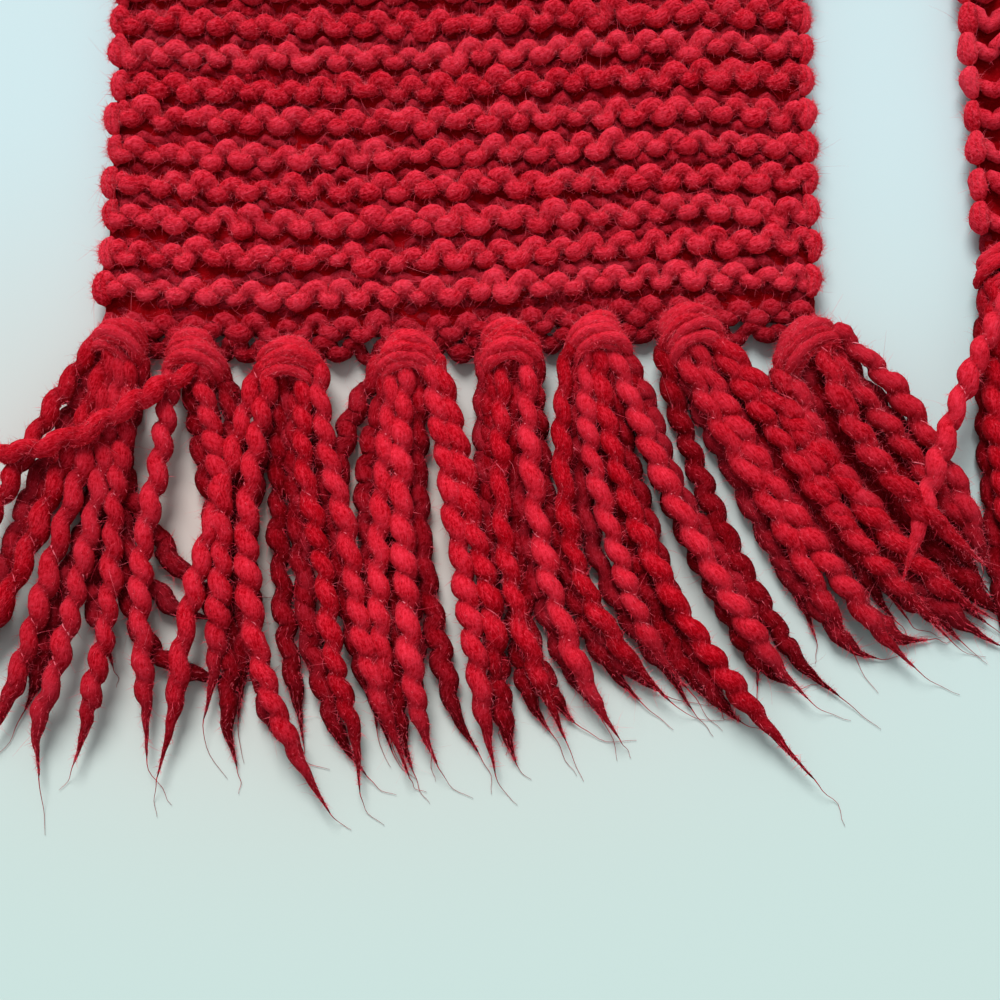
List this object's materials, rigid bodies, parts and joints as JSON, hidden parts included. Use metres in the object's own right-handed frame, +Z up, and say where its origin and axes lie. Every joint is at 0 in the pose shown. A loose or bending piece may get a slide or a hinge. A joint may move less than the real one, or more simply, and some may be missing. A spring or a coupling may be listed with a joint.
{
  "type": "knit scarf",
  "caption": "Chunky garter-stitch wool scarf with knotted yarn fringe at both ends, laid flat in a U so that the two ends lie side by side.",
  "frame": {"origin": "middle of the footprint, on the surface that the scarf lies on", "axes": "+Z up from the surface, -Y towards the fringed ends, +X from the first end to the second"},
  "size_m": [0.5086, 0.8836, 0.0189],
  "materials": {
    "knit_wool": "matte fuzzy wool, garter stitch",
    "fringe_wool": "matte fuzzy corkscrew yarn"
  },
  "bodies": {
    "root": {"knit_first_leg": "knit_wool", "knit_crossing": "knit_wool", "knit_second_leg": "knit_wool", "tassel_first_1": "fringe_wool", "tassel_first_2": "fringe_wool", "tassel_first_3": "fringe_wool", "tassel_first_4": "fringe_wool", "tassel_first_5": "fringe_wool", "tassel_first_6": "fringe_wool", "tassel_first_7": "fringe_wool", "tassel_first_8": "fringe_wool", "tassel_second_1": "fringe_wool", "tassel_second_2": "fringe_wool", "tassel_second_3": "fringe_wool", "tassel_second_4": "fringe_wool", "tassel_second_5": "fringe_wool", "tassel_second_6": "fringe_wool", "tassel_second_7": "fringe_wool", "tassel_second_8": "fringe_wool"}
  },
  "joints": []
}
